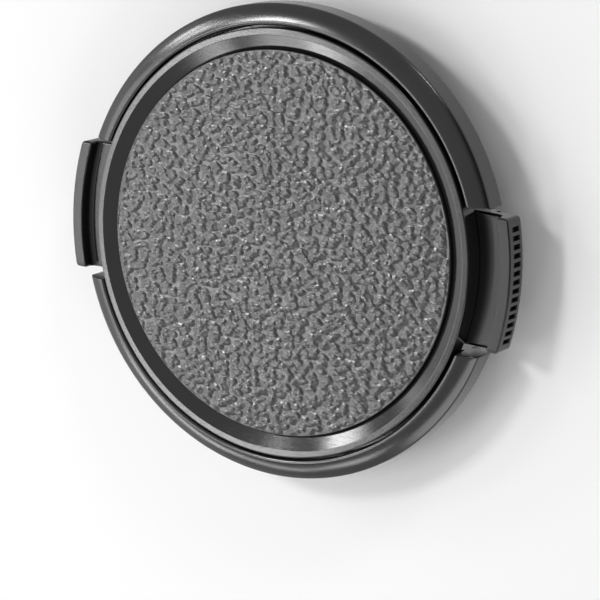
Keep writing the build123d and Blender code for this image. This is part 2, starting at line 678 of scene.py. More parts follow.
def geometry_end(graph: Graph, start: Node, geometry: Socket) -> None:
    """Ends a Geometry Nodes tree with real geometry that has its material.

    Args:
        graph: The graph.
        start: Its input node.
        geometry: What the tree made.
    """
    real = graph.node("GeometryNodeRealizeInstances", Geometry=geometry).outputs[0]
    merged = graph.node("GeometryNodeMergeByDistance", Geometry=real, Distance=WELD).outputs[0]
    painted = graph.node("GeometryNodeSetMaterial", Geometry=merged, Material=start.outputs["Material"])
    graph.node("NodeGroupOutput", Geometry=painted.outputs[0])


def run_tree(obj: Obj, graph: Graph, values: dict[str, Any]) -> None:
    """Runs a tree on a piece and keeps the plain mesh that it gives.

    Args:
        obj: The piece.
        graph: The tree's graph.
        values: Values of its named inputs.
    """
    modifier = obj.modifiers.new(graph.tree.name, "NODES")
    modifier.node_group = graph.tree
    for item in graph.tree.interface.items_tree:
        if item.in_out == "INPUT" and item.name in values:
            modifier[item.identifier] = values[item.name]
    settle(obj)


def shader_graph(name: str, sizes: dict[str, float], results: Sequence[str]) -> tuple[Graph, Node, Socket]:
    """Starts a shader group.

    Args:
        name: Name of the group.
        sizes: Its named inputs, with their defaults.
        results: Names of its outputs.

    Returns:
        The graph, its input node, and the places on the piece.
    """
    graph = Graph(bpy.data.node_groups.new(name, "ShaderNodeTree"))
    for label, value in sizes.items():
        graph.socket(label, "NodeSocketFloat", value)
    for label in results:
        graph.socket(label, "NodeSocketFloat", output=True)
    return graph, graph.node("NodeGroupInput"), graph.node("ShaderNodeTexCoord").outputs["Object"]


@dataclass(frozen=True)
class SkinPattern:
    """Shader group: the fine and the broad unevenness of a moulded surface.

    Attributes:
        name: Name of the group.
        fine_scale: Fineness of the skin.
        broad_scale: Fineness of the mottling.
        span: Range of the noise that the mottling shows.
    """

    name: str = "moulded_skin"
    fine_scale: float = 9000.0
    broad_scale: float = 160.0
    span: Pair = (0.3, 0.7)

    def group(self) -> bpy.types.NodeTree:
        """Builds the group, once.

        Returns:
            The group.
        """
        found = bpy.data.node_groups.get(self.name)
        if found:
            return found
        scales = {"Fine Scale": self.fine_scale, "Broad Scale": self.broad_scale}
        graph, start, place = shader_graph(self.name, scales, ["Fine", "Broad"])
        fine = graph.noise(place, start.outputs["Fine Scale"], detail=2.0)[0]
        broad = graph.noise(place, start.outputs["Broad Scale"], detail=3.0)[0]
        graph.node("NodeGroupOutput", Fine=fine, Broad=graph.ramp(broad, *self.span))
        return graph.tree


@dataclass(frozen=True)
class RubPattern:
    """Shader group: faint streaks where hands and pockets have rubbed a surface.

    Attributes:
        name: Name of the group.
        scale: Fineness of the streaks.
        turns: Their two directions, in radians.
        stretch: How much longer than wide they are.
        span: Range of the noise that shows as a streak.
    """

    name: str = "handling_rub"
    scale: float = 420.0
    turns: Pair = (0.5, 2.1)
    stretch: float = 9.0
    span: Pair = (0.6, 0.75)

    def group(self) -> bpy.types.NodeTree:
        """Builds the group, once.

        Returns:
            The group.
        """
        found = bpy.data.node_groups.get(self.name)
        if found:
            return found
        graph, start, place = shader_graph(self.name, {"Scale": self.scale}, ["Rub"])
        narrowed = (1.0, self.stretch, 1.0)
        streaks = []
        for turn in self.turns:
            laid = graph.node("ShaderNodeMapping", Vector=place, Rotation=(0.0, 0.0, turn), Scale=narrowed)
            noise = graph.noise(laid.outputs[0], start.outputs["Scale"], detail=1.0)[0]
            streaks.append(graph.ramp(noise, *self.span))
        graph.node("NodeGroupOutput", Rub=graph.math("MAXIMUM", *streaks))
        return graph.tree


@dataclass(frozen=True)
class MouldedPlastic:
    """Satin moulded plastic.

    Attributes:
        name: Name of the material.
        colour: Its colour.
        roughness: Roughness of a clean place.
        rubbed: Change of roughness where it is rubbed.
        mottle: Share by which the colour varies.
        relief: Depth of the moulded skin, in millimetres.
        specular: Level of its reflections.
    """

    name: str
    colour: Triple
    roughness: float
    rubbed: float = 0.06
    mottle: float = 0.12
    relief: float = 0.004
    specular: float = 0.75

    def shade(self, factor: float) -> tuple[float, float, float, float]:
        """The colour times a factor, with full alpha."""
        return (*(factor * c for c in self.colour), 1.0)

    def face(self, graph: Graph, broad: Socket) -> tuple[Socket, Socket | None]:
        """The mottled colour, and no relief under the skin."""
        return graph.mix(broad, self.shade(1.0 - self.mottle), self.shade(1.0 + self.mottle)), None

    def material(self) -> bpy.types.Material:
        """Builds the material.

        Returns:
            The finished material.
        """
        material = bpy.data.materials.new(self.name)
        graph = blank(material)
        skin = graph.node("ShaderNodeGroup", {"node_tree": SkinPattern().group()}).outputs
        rub = graph.node("ShaderNodeGroup", {"node_tree": RubPattern().group()}).outputs["Rub"]
        colour, under = self.face(graph, skin["Broad"])
        worn = graph.math("ADD", graph.math("MULTIPLY", rub, self.rubbed), self.roughness)
        bump = graph.node("ShaderNodeBump", Height=skin["Fine"], Distance=self.relief * MM, Strength=1.0)
        if under is not None:
            graph.feed(bump.inputs["Normal"], under)
        shader = graph.node("ShaderNodeBsdfPrincipled", Base_Color=colour, Roughness=worn)
        graph.feed(shader.inputs["Specular IOR Level"], self.specular)
        graph.feed(shader.inputs["Normal"], bump.outputs[0])
        graph.node("ShaderNodeOutputMaterial", Surface=shader.outputs[0])
        return material


@dataclass(frozen=True)
class LeatherGrain:
    """Leather grain as a height from 0 to 1, which a mesh and its finish share.

    Attributes:
        size: Spacing of the pebbles, in millimetres.
        stretch: How much longer they are along X.
        relief: Depth of the valleys in the mesh, in millimetres.
        fine_relief: Depth that the finish adds, in millimetres.
        warp: How far the pebbles are bent, as a share of the spacing.
        warp_scale: Fineness of the bending.
        evenness: How far they stray from even rows, up to 1.
        reach: Radius of a whole pebble, as a share of the spacing.
        blend: How softly neighbours meet.
        least: Height of the lowest pebbles, as a share of the highest.
        swell_scale: Fineness of the change between low and high pebbles.
        swell_span: Range of the noise that the change uses.
        wrinkle: Share of the height that fine wrinkles have.
        wrinkle_scale: Fineness of the wrinkles.
        seed: Offset of the pattern.
    """

    size: float = 0.75
    stretch: float = 1.65
    relief: float = 0.1
    fine_relief: float = 0.09
    warp: float = 0.25
    warp_scale: float = 0.8
    evenness: float = 1.0
    reach: float = 0.68
    blend: float = 0.25
    least: float = 0.45
    swell_scale: float = 0.9
    swell_span: Pair = (0.38, 0.62)
    wrinkle: float = 0.03
    wrinkle_scale: float = 2.6
    seed: float = 7.0

    def height(self, graph: Graph, place: Any, spacing: Any, seed: Any) -> Socket:
        """Adds the grain to a tree.

        Args:
            graph: The tree of a mesh or of a material.
            place: Places on the piece.
            spacing: Spacing of the pebbles along each axis, in metres.
            seed: Offset of the pattern.

        Returns:
            The height.
        """
        scaled = graph.vector("DIVIDE", place, spacing).outputs[0]
        seeded = graph.vector("ADD", scaled, seed).outputs[0]
        wave = graph.noise(seeded, self.warp_scale, detail=0.0, flat=True)["Color"]
        centred = graph.vector("SUBTRACT", wave, (0.5, 0.5, 0.5)).outputs[0]
        bend = graph.vector("SCALE", centred, scale=self.warp).outputs[0]
        warped = graph.vector("ADD", seeded, bend).outputs[0]
        pebble = graph.node(
            "ShaderNodeTexVoronoi",
            {"feature": "SMOOTH_F1", "voronoi_dimensions": "2D"},
            Vector=warped,
            Scale=1.0,
            Smoothness=self.blend,
            Randomness=self.evenness,
        )
        away = graph.math("POWER", graph.math("DIVIDE", pebble.outputs["Distance"], self.reach), 2.0)
        swell = graph.noise(seeded, self.swell_scale, detail=1.0, flat=True)[0]
        share = graph.ramp(swell, *self.swell_span, self.least, 1.0)
        folds = graph.noise(seeded, self.wrinkle_scale, detail=1.0, flat=True)[0]
        dome = graph.math("MULTIPLY", graph.math("SUBTRACT", 1.0, away, clamp=True), share)
        return graph.math("SUBTRACT", dome, graph.math("MULTIPLY", folds, self.wrinkle), clamp=True)


@dataclass(frozen=True)
class GrainedPlastic(MouldedPlastic):
    """Moulded plastic with a leather grain.

    Attributes:
        grain: The grain, which the mesh has too.
        valley_shade: Factor on the colour in the valleys.
        crest_highlight: Factor on the colour on the highest pebbles' crests, a painted highlight.
        highlight_start: Height from which a pebble gets the painted highlight.
        highlight_end: Height at which the painted highlight is whole.
        edge: Radius at which the grain has run out, in millimetres.
        fade: Width over which it runs out, in millimetres.
    """

    grain: LeatherGrain = LeatherGrain()
    valley_shade: float = 1.0
    crest_highlight: float = 2.3
    highlight_start: float = 0.6
    highlight_end: float = 0.9
    edge: float = 25.0
    fade: float = 0.5

    def face(self, graph: Graph, broad: Socket) -> tuple[Socket, Socket | None]:
        """Adds the grain's colour and relief.

        Args:
            graph: The material's graph.
            broad: The mottling.

        Returns:
            The colour, and the normal under the skin.
        """
        grain = self.grain
        place = graph.node("ShaderNodeTexCoord").outputs["Object"]
        spacing = (grain.size * grain.stretch * MM, grain.size * MM, 1.0)
        pattern = grain.height(graph, place, spacing, (grain.seed, grain.seed, 0.0))
        kept = graph.within(place, (self.edge - self.fade) * MM, self.edge * MM)
        height = graph.math("MULTIPLY", pattern, kept)
        # Painted highlight: the highest pebbles' crests are coloured lighter, as if light glinted on them.
        painted_highlight = graph.ramp(height, self.highlight_start, self.highlight_end)
        highlighted_tint = graph.mix(painted_highlight, self.shade(self.valley_shade), self.shade(self.crest_highlight))
        mottled = graph.mix(broad, highlighted_tint, (1.0 - self.mottle,) * 3 + (1.0,), "MULTIPLY")
        depth = grain.fine_relief * MM
        pebbles = graph.node("ShaderNodeBump", Height=height, Distance=depth, Strength=1.0)
        return mottled, pebbles.outputs[0]


@dataclass(frozen=True)
class DrawnSteel:
    """Bright drawn wire.

    Attributes:
        name: Name of the material.
        colour: Its colour.
        roughness: Roughness of a bright place.
        dull: Roughness of a dull place.
        shaded: Factor on the colour in its darker places.
        span: Range of the skin's unevenness from bright to dull.
    """

    name: str
    colour: Triple
    roughness: float
    dull: float = 0.4
    shaded: float = 0.85
    span: Pair = (0.3, 0.7)

    def material(self) -> bpy.types.Material:
        """Builds the material.

        Returns:
            The finished material.
        """
        material = bpy.data.materials.new(self.name)
        graph = blank(material)
        skin = graph.node("ShaderNodeGroup", {"node_tree": SkinPattern().group()}).outputs
        darker = (*(self.shaded * c for c in self.colour), 1.0)
        colour = graph.mix(skin["Broad"], darker, (*self.colour, 1.0))
        worn = graph.ramp(skin["Fine"], *self.span, self.roughness, self.dull)
        shader = graph.node("ShaderNodeBsdfPrincipled", Metallic=1.0, Base_Color=colour, Roughness=worn)
        graph.node("ShaderNodeOutputMaterial", Surface=shader.outputs[0])
        return material


@dataclass(frozen=True)
class Levels:
    """Sizes that more than one sub-assembly shares, most of them read from the frame.

    Attributes:
        flange_radius: Outer radius of the flange.
        cover_radius: Outer radius of the cover.
        rim_z: Top of the cover's rim.
        ledge_z: Ledge that the cover's skirt sits on.
        jaw_z: Lowest point of the jaws.
        pad_reach: Outermost point of a lever's pad.
        lip_z: Top of a lever's lip.
        seat_x: Lever's end of a spring.
        post_x: Post's end of a spring.
        floor_z: Inner face of the floor.
        floor_rear_z: Rear face of the floor.
        neck_z: Rear face of the levers' necks.
        neck_top_z: Front face of the levers' necks.
        cover_under_z: Inner face of the cover.
        inner_top_z: Top of what stands inside the body.
        plug_bore: Inner radius of the plug.
        window_x: Ends of the floor, where the jaws pass.
        pins: Places of the cover's pins.
        spring_z: Height of the springs' axis.
        spigot_radius: Radius of the spigots inside the springs.
        spigot_length: How far a spigot stands out.
    """

    flange_radius: float
    cover_radius: float
    rim_z: float
    ledge_z: float
    jaw_z: float
    pad_reach: float
    lip_z: float
    seat_x: float
    post_x: float
    floor_z: float = 2.7
    floor_rear_z: float = 1.5
    neck_z: float = 2.82
    neck_top_z: float = 4.57
    cover_under_z: float = 5.78
    inner_top_z: float = 5.66
    plug_bore: float = 26.494
    window_x: float = 24.03
    pins: Pair = (11.93, 17.03)
    spring_z: float = 4.24
    spigot_radius: float = 0.74
    spigot_length: float = 1.4

    @classmethod
    def from_frame(cls) -> "Levels":
        """Reads the sizes that the frame's boxes give.

        Returns:
            The sizes.
        """
        skirt_above_pins = 0.81
        body_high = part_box("body")[1] / MM
        cover_low, cover_high = (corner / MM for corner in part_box("front_cover"))
        lever_low, lever_high = (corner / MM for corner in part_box("lever_right"))
        spring_low, spring_high = (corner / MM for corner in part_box("spring_right"))
        return cls(
            flange_radius=body_high.y,
            cover_radius=cover_high.x,
            rim_z=cover_high.z,
            ledge_z=cover_low.z + skirt_above_pins,
            jaw_z=lever_low.z,
            pad_reach=lever_high.x,
            lip_z=lever_high.z,
            seat_x=spring_high.x,
            post_x=spring_low.x,
        )

    def pin_places(self) -> list[Pair]:
        """Places of the four pins in plan."""
        return [(x * self.pins[0], y * self.pins[1]) for x in (-1, 1) for y in (-1, 1)]


@dataclass
class CapBody:
    """The body: flange, plug, floor, and what stands on the floor inside."""

    levels: Levels
    finish: MouldedPlastic
    seat_z: float = 2.8
    shoulder_z: float = 6.2
    crown_z: float = 7.55
    crown_bulge: float = 0.25
    crown_round: float = 0.45
    crown_steps: int = 20
    crown_round_steps: int = 8
    flange_bore: float = 28.2
    plug_radius: float = 28.394
    plug_lead: float = 0.3
    rear_chamfer: float = 0.25
    edge: float = 0.1
    notch_half: float = 9.35
    notch_round: float = 0.2
    guide_end: float = 20.544
    guide_length: float = 11.0
    guide_half: float = 4.65
    guide_wall: float = 1.2
    post_half_width: float = 3.5
    socket_radius: float = 2.35
    sunk: float = 0.2
    around: int = 200

    def crown(self) -> list[Corner]:
        """The flange's convex front with a round at each end, from the side to the bore.

        Returns:
            Its points as plain corners.
        """
        outer = Vector((self.levels.flange_radius, self.shoulder_z))
        inner = Vector((self.flange_bore, self.crown_z))
        chord = inner - outer
        radius = chord.length_squared / (8.0 * self.crown_bulge) + self.crown_bulge / 2.0
        away = Vector((-chord.y, chord.x)).normalized()
        centre = (outer + inner) / 2.0 + away * (radius - self.crown_bulge)
        rounds = []
        for wall, way in ((outer.x, -1.0), (inner.x, 1.0)):
            middle_x = wall + way * self.crown_round
            rise = math.sqrt((radius - self.crown_round) ** 2 - (middle_x - centre.x) ** 2)
            middle = Vector((middle_x, centre.y + rise))
            touch = centre + (middle - centre).normalized() * radius
            rounds.append((middle, Vector((wall, middle.y)), touch))
        (first, side, first_touch), (last, bore, last_touch) = rounds
        steps = self.crown_round_steps
        points = [(outer.x, side.y - STRIP), *arc(first, side, first_touch, steps)]
        points += arc(centre, first_touch, last_touch, self.crown_steps)[1:-1]
        points += [*arc(last, last_touch, bore, steps), (inner.x, bore.y - STRIP)]
        return [Corner(x, z) for x, z in points]

    def ring_section(self) -> list[Corner]:
        """Puts the ring's section together.

        Returns:
            The section of the flange and the plug's wall.
        """
        size = self.levels
        return [
            Corner(size.plug_bore, size.ledge_z, self.edge),
            Corner(size.plug_bore, 0.0, self.edge),
            Corner(self.plug_radius - self.plug_lead, 0.0, self.edge),
            Corner(self.plug_radius, self.plug_lead, self.edge),
            Corner(self.plug_radius, self.seat_z, self.edge),
            Corner(size.flange_radius - self.rear_chamfer, self.seat_z, self.edge),
            Corner(size.flange_radius, self.seat_z + self.rear_chamfer, self.edge),
            *self.crown(),
            Corner(self.flange_bore, size.ledge_z, self.edge),
        ]

    def floor(self) -> Obj:
        """Builds the floor plate, with a straight end at each jaw's window.

        Returns:
            The plate.
        """
        into_wall = 0.4
        step = 0.05
        size = self.levels
        corner_y = self.notch_half + step
        radius = size.plug_bore + into_wall
        start = math.asin((corner_y + step) / radius)
        outline: list[Pair] = []
        for way in (1.0, -1.0):
            outline += [(way * size.window_x, -way * corner_y), (way * size.window_x, way * corner_y)]
            for share in range(self.around + 1):
                angle = start + (math.pi - 2.0 * start) * share / self.around
                outline.append((way * radius * math.cos(angle), way * radius * math.sin(angle)))
        return Draft.shell("floor", upright(outline, size.floor_rear_z, size.floor_z))

    def fittings(self) -> list[Obj]:
        """Builds what stands on the floor, a little sunk into it.

        Returns:
            Guide ribs, spring post with its spigots, and pin sockets.
        """
        size = self.levels
        base = size.floor_z - self.sunk
        made = []
        for side in (-1.0, 1.0):
            near, far = sorted((side * (self.guide_end - self.guide_length), side * self.guide_end))
            for way in (-1.0, 1.0):
                low, high = sorted((way * self.guide_half, way * (self.guide_half + self.guide_wall)))
                made.append(block((near, low, base), (far, high, size.neck_top_z)))
        post_high = (size.post_x, self.post_half_width, size.inner_top_z)
        made.append(block((-size.post_x, -self.post_half_width, base), post_high))
        tip = Vector((size.post_x + size.spigot_length, 0.0, size.spring_z))
        made.append(rod(Vector((-tip.x, 0.0, tip.z)), tip, size.spigot_radius))
        for x, y in size.pin_places():
            made.append(rod(Vector((x, y, base)), Vector((x, y, size.inner_top_z)), self.socket_radius))
        return made

    def build(self) -> list[Obj]:
        """Builds and dresses the body.

        Returns:
            Its pieces.
        """
        half = Turned(
            self.ring_section(),
            cut=self.notch_half,
            mating=Mating.BEYOND,
            stations=even_stations(self.around),
            end_round=self.notch_round,
        ).rows()
        body = Draft.shell("cap_body", half, [[(-x, -y, z) for x, y, z in row] for row in half])
        fuse(body, [self.floor(), *self.fittings()])
        smooth(body)
        paint(body, self.finish.material())
        return [dress(body, "cap", ["body"])]


@dataclass
class FrontCover:
    """The cover: a smooth dished rim and the grained disc inside it."""

    levels: Levels
    rim_finish: MouldedPlastic
    disc_finish: GrainedPlastic
    rim_inner: float = 27.04
    groove_z: float = 6.62
    rim_round: float = 0.18
    edge: float = 0.1
    skirt_bore: float = 26.3
    hub: float = 0.5
    pin_radius: float = 1.1
    pin_length: float = 1.9
    disc_radius: float = 25.1
    disc_z: float = 7.23
    disc_round: float = 0.18
    disc_sunk: float = 0.2
    disc_rings: int = 158
    around: int = 420
    grain_fade: float = 0.25

    def rim(self) -> Obj:
        """Builds the rim, groove, skirt and pins.

        Returns:
            The painted piece.
        """
        size = self.levels
        slope = (size.rim_z - self.groove_z) / (self.rim_inner - self.disc_radius)
        groove_bottom = self.groove_z - slope * self.disc_sunk
        corners = [
            Corner(self.hub, size.cover_under_z),
            Corner(self.skirt_bore, size.cover_under_z, self.edge),
            Corner(self.skirt_bore, size.ledge_z, self.edge),
            Corner(size.cover_radius, size.ledge_z, self.edge),
            Corner(size.cover_radius, size.rim_z, self.rim_round),
            Corner(self.rim_inner, size.rim_z, self.rim_round),
            Corner(self.disc_radius - self.disc_sunk, groove_bottom, self.edge),
            Corner(self.hub, groove_bottom),
        ]
        rows = [circle(radius, height, self.around) for radius, height in section(corners, steps=8)]
        rim = Draft.shell("cover_rim", rows)
        pins = []
        for x, y in size.pin_places():
            top = Vector((x, y, size.cover_under_z + self.edge))
            end = Vector((x, y, size.cover_under_z - self.pin_length))
            pins.append(rod(end, top, self.pin_radius))
        fuse(rim, pins)
        smooth(rim)
        paint(rim, self.rim_finish.material())
        return rim

    def disc(self) -> Obj:
        """Builds the disc in rings of even triangles, each ring with six more points than the last.

        Returns:
            The plain disc.
        """
        sides = 6
        flat = self.disc_radius - self.disc_round
        draft = Draft()
        inner = draft.row([(0.0, 0.0, self.disc_z)])
        for ring in range(1, self.disc_rings + 1):
            outer = draft.row(circle(flat * ring / self.disc_rings, self.disc_z, sides * ring))
            for part in range(sides):
                for i in range(ring):
                    start = inner[(part * (ring - 1) + i) % len(inner)]
                    one, other = (outer[(part * ring + i + j) % len(outer)] for j in (0, 1))
                    draft.faces.append((start, one, other))
                    if i < ring - 1:
                        after = inner[(part * (ring - 1) + i + 1) % len(inner)]
                        draft.faces.append((start, other, after))
            inner = outer
        middle = Vector((flat, self.disc_z - self.disc_round))
        top = Vector((flat, self.disc_z))
        side = Vector((self.disc_radius, middle.y))
        base = (self.disc_radius, self.groove_z - self.disc_sunk)
        for radius, height in [*arc(middle, top, side, steps=6)[1:], base]:
            outer = draft.row(circle(radius, height, len(inner)))
            draft.bridge(inner, outer)
            inner = outer
        draft.faces.append(tuple(inner))
        return draft.piece("cover_disc")

    def grain(self) -> Graph:
        """Builds the tree that presses the leather grain into the disc.

        Returns:
            The tree's graph.
        """
        sizes = {
            "Pebble Size": 0.001,
            "Stretch": 1.0,
            "Relief": 0.0001,
            "Radius": 0.025,
            "Fade": 0.0004,
            "Seed": 0.0,
        }
        graph, start = geometry_graph("leather_grain", sizes)
        given = start.outputs
        place = graph.node("GeometryNodeInputPosition").outputs[0]
        flat = graph.vector("MULTIPLY", place, (1.0, 1.0, 0.0)).outputs[0]
        along = graph.math("MULTIPLY", given["Pebble Size"], given["Stretch"])
        spacing = graph.node("ShaderNodeCombineXYZ", X=along, Y=given["Pebble Size"], Z=1.0)
        offset = graph.node("ShaderNodeCombineXYZ", X=given["Seed"], Y=given["Seed"])
        height = self.disc_finish.grain.height(graph, flat, spacing.outputs[0], offset.outputs[0])
        inner = graph.math("SUBTRACT", given["Radius"], given["Fade"])
        mask = graph.within(flat, inner, given["Radius"])
        drop = graph.math("MULTIPLY", graph.math("SUBTRACT", height, 1.0), mask)
        shift = graph.node("ShaderNodeCombineXYZ", Z=graph.math("MULTIPLY", drop, given["Relief"]))
        pressed = graph.node("GeometryNodeSetPosition", Geometry=given["Geometry"], Offset=shift.outputs[0])
        geometry_end(graph, start, pressed.outputs[0])
        return graph

    def build(self) -> list[Obj]:
        """Builds and dresses the cover.

        Returns:
            Its pieces.
        """
        disc = self.disc()
        grain = self.disc_finish.grain
        values = {
            "Pebble Size": grain.size * MM,
            "Stretch": grain.stretch,
            "Relief": grain.relief * MM,
            "Radius": self.disc_radius * MM,
            "Fade": self.grain_fade * MM,
            "Seed": grain.seed,
            "Material": self.disc_finish.material(),
        }
        run_tree(disc, self.grain(), values)
        smooth(disc, sharp_above=None)
        return [dress(piece, "cap", ["front_cover"]) for piece in (self.rim(), disc)]


@dataclass
class PinchLever:
    """A lever: grip pad with a lip, neck, threaded jaw, stop ears and sprung tongue."""

    levels: Levels
    side: Side
    finish: MouldedPlastic
    half_width: float = 8.6
    pad_flatness: float = 2.5
    pad_thickness: float = 1.55
    root_round: float = 0.7
    lip_round: float = 0.2
    rear_round: float = 0.15
    end_round: float = 0.45
    end_steps: int = 6
    edge: float = 0.1
    pit_count: int = 14
    pit_pitch: float = 1.11
    pit_width: float = 0.62
    pit_low: float = 3.47
    pit_high: float = 5.27
    pit_depth: float = 0.5
    pit_edge: float = 0.07
    pit_taper: float = 0.05
    band_margin: float = 0.14
    jaw_half: float = 8.2
    jaw_bore: float = 27.2
    jaw_root: float = 28.9
    jaw_crest: float = 29.3
    thread_pitch: float = 0.75
    ridges: int = 3
    ridge_root_round: float = 0.03
    ridge_crest_round: float = 0.06
    ear_half: float = 12.2
    ear_radius: float = 26.394
    ear_bore: float = 23.194
    sector_round: float = 0.03
    sector_steps: int = 40
    tongue_half: float = 4.5
    seat_block: float = 2.5
    sunk: float = 1.0
    lap: float = 0.03

    @property
    def curve(self) -> float:
        """Radius of the pad's outer face about the pad's own axis."""
        return self.levels.pad_reach + self.pad_flatness

    @property
    def pit_angle(self) -> float:
        """Angle between neighbouring pits about the pad's axis."""
        return self.pit_pitch / self.curve

    @property
    def band(self) -> Pair:
        """Heights of the pad's band that the pits lie in."""
        return self.pit_low - self.band_margin, self.pit_high + self.band_margin

    @property
    def neck(self) -> Pair:
        """Heights of what runs into the neck, a little inside its faces."""
        return self.levels.neck_z + self.lap, self.levels.neck_top_z - self.lap

    def pad(self) -> Obj:
        """Builds the pad, lip and neck, with an opening where the pits' band goes.

        Returns:
            The open piece.
        """
        size = self.levels
        inner = size.window_x + self.pad_flatness
        lip = self.curve - self.pad_thickness
        low, high = self.band
        corners = [
            Corner(inner, size.neck_z, self.edge),
            Corner(self.curve, size.neck_z, self.rear_round),
            Corner(self.curve, low),
            Corner(self.curve, high),
            Corner(self.curve, size.lip_z, self.lip_round),
            Corner(lip, size.lip_z, self.lip_round),
            Corner(lip, size.neck_top_z, self.root_round),
            Corner(inner, size.neck_top_z, self.edge),
        ]
        turned = Turned(
            corners,
            cut=self.half_width,
            mating=Mating.BETWEEN,
            stations=[],
            axis_x=-self.pad_flatness,
            end_round=self.end_round,
            end_steps=self.end_steps,
        )
        half_turn = turned.half_turn(self.curve, turned.full_cut)
        places = [k - self.pit_count / 2 for k in range(self.pit_count + 1)]
        borders = [place * self.pit_angle / half_turn for place in places]
        loop = section(corners)
        gap = min(range(len(loop)), key=lambda i: math.dist(loop[i], (self.curve, low)))
        draft = Draft()
        first, last = turned.end(-1.0)[::-1], turned.end(1.0)
        between = [turned.placed(loop, share, turned.full_cut) for share in borders]
        rows = [draft.row(points) for points in (*first, *between, *last)]
        pits = range(len(first), len(first) + self.pit_count)
        for i, (one, other) in enumerate(zip(rows, rows[1:])):
            draft.bridge(one, other, skip=gap if i in pits else None)
        draft.faces += [tuple(rows[0]), tuple(rows[-1])]
        return draft.piece("pad")

    def pit(self) -> Obj:
        """Builds one grip pit with the piece of the pad's face around it, as seen from the pad's axis.

        Returns:
            The open piece.
        """
        low, high = self.band
        half, edge = self.pit_width / 2.0, self.pit_edge
        eased = 0.3 * edge
        growths = [(edge, 0.0), (eased, eased), (0.0, edge), (-self.pit_taper, self.pit_depth)]
        steps = [(self.pit_pitch / 2.0, low, high, 0.0)]
        steps += [(half + more, self.pit_low - more, self.pit_high + more, depth) for more, depth in growths]
        draft = Draft()
        rows = []
        for reach, bottom, top, depth in steps:
            angle, radius = reach / self.curve, self.curve - depth
            x, y = radius * math.cos(angle), radius * math.sin(angle)
            rows.append(draft.row([(x, -y, bottom), (x, y, bottom), (x, y, top), (x, -y, top)]))
        for one, other in zip(rows, rows[1:]):
            draft.bridge(one, other)
        draft.faces.append(tuple(rows[-1]))
        return draft.piece("pit")

    def pit_row(self) -> Graph:
        """Builds the tree that repeats a pit around the pad's axis.

        Returns:
            The tree's graph.
        """
        graph, start = geometry_graph("grip_pits", {"Count": 14, "Angle": 0.03, "Axis X": 0.0})
        given = start.outputs
        axis = graph.node("ShaderNodeCombineXYZ", X=given["Axis X"])
        points = graph.node("GeometryNodePoints", Count=given["Count"], Position=axis.outputs[0])
        index = graph.node("GeometryNodeInputIndex").outputs[0]
        middle = graph.math("MULTIPLY", graph.math("SUBTRACT", given["Count"], 1.0), 0.5)
        angle = graph.math("MULTIPLY", graph.math("SUBTRACT", index, middle), given["Angle"])
        spin = graph.node("ShaderNodeCombineXYZ", Z=angle)
        placed = graph.node(
            "GeometryNodeInstanceOnPoints",
            Points=points.outputs[0],
            Instance=given["Geometry"],
            Rotation=spin.outputs[0],
        )
        geometry_end(graph, start, placed.outputs[0])
        return graph

    def sector(self, corners: Sequence[Corner], half: float) -> Obj:
        """Turns a section about the cap's axis, to each side of X.

        Args:
            corners: The section.
            half: Half its width.

        Returns:
            The piece.
        """
        stations = even_stations(self.sector_steps)
        turned = Turned(corners, half, Mating.BETWEEN, stations, end_round=self.sector_round)
        return Draft.shell("sector", turned.rows())

    def jaw(self) -> Obj:
        """Builds the jaw with its thread ridges.

        Returns:
            The jaw.
        """
        foot, top = self.levels.jaw_z, self.neck[1]
        corners = [Corner(self.jaw_bore, top), Corner(self.jaw_bore, foot, self.edge)]
        for ridge in range(self.ridges):
            root = foot + ridge * self.thread_pitch
            corners.append(Corner(self.jaw_root, root, self.ridge_root_round))
            corners.append(Corner(self.jaw_crest, root + self.thread_pitch / 2.0, self.ridge_crest_round))
        last = foot + self.ridges * self.thread_pitch
        corners.append(Corner(self.jaw_root, last, self.ridge_root_round))
        corners.append(Corner(self.jaw_root, top))
        return self.sector(corners, self.jaw_half)

    def ears(self) -> Obj:
        """Builds the ears behind the ring's wall.

        Returns:
            The ears.
        """
        low, high = self.neck
        corners = rectangle((self.ear_bore, low), (self.ear_radius, high), self.edge)
        return self.sector(corners, self.ear_half)

    def tongue(self) -> list[Obj]:
        """Builds the tongue.

        Returns:
            The tongue, the block that the spring pushes on, and its spigot.
        """
        size = self.levels
        low, high = self.neck
        half = self.tongue_half
        seat = Vector((size.seat_x, 0.0, size.spring_z))
        tip = seat - Vector((size.spigot_length, 0.0, 0.0))
        return [
            block((size.seat_x, -half, low), (self.ear_bore + self.sunk, half, high)),
            block(
                (size.seat_x + self.lap, self.lap - half, size.neck_z),
                (size.seat_x + self.seat_block, half - self.lap, size.inner_top_z),
            ),
            rod(tip, seat + Vector((self.sunk, 0.0, 0.0)), size.spigot_radius),
        ]

    def build(self) -> list[Obj]:
        """Builds and dresses the lever.

        Returns:
            Its pieces.
        """
        material = self.finish.material()
        pits = self.pit()
        values = {
            "Count": self.pit_count,
            "Angle": self.pit_angle,
            "Axis X": -self.pad_flatness * MM,
            "Material": material,
        }
        run_tree(pits, self.pit_row(), values)
        lever = self.pad()
        lever.name = f"pinch_{self.side.lever}"
        with bpy.context.temp_override(active_object=lever, selected_editable_objects=[lever, pits]):
            bpy.ops.object.join()
        close_up(lever)
        fuse(lever, [self.jaw(), self.ears(), *self.tongue()])
        lever.data.transform(self.side.turn)
        smooth(lever)
        paint(lever, material)
        return [dress(lever, self.side.lever, [self.side.lever])]


